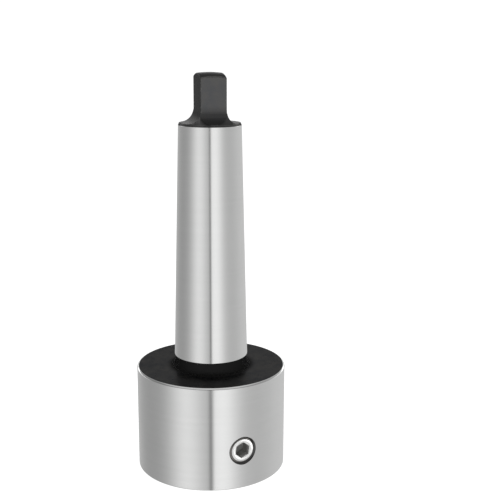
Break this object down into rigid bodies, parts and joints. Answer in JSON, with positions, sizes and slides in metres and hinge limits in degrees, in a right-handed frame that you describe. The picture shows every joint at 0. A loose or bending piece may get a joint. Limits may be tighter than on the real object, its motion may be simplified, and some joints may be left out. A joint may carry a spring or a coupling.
{
  "type": "boring head arbor",
  "caption": "Arbor for a boring head: a tapered shank with a tang on a short cylindrical head that is bored underneath for the coupling and has a locking screw in its side.",
  "frame": {"origin": "centre of the head's mating face, on the arbor's axis", "axes": "+Z along the arbor's axis from the mating face towards the tang, -Y out of the mouth of the locking screw's hole"},
  "size_m": [0.064, 0.064, 0.1692],
  "materials": {
    "head_steel": "ground bright round the outside, on the mating face and in the bore, black oxide on the top face",
    "shank_steel": "ground bright on the taper, black oxide on the tang and the neck",
    "screw_steel": "plain bright steel"
  },
  "bodies": {
    "arbor": {"arbor_head": "head_steel", "arbor_shank": "shank_steel"},
    "screw": {"locking_screw": "screw_steel"}
  },
  "joints": [
    {"name": "screw_travel", "type": "slide", "parent": "arbor", "child": "screw", "axis": [0, 1, 0], "range_m": [-0.00525, 0.00525]}
  ]
}
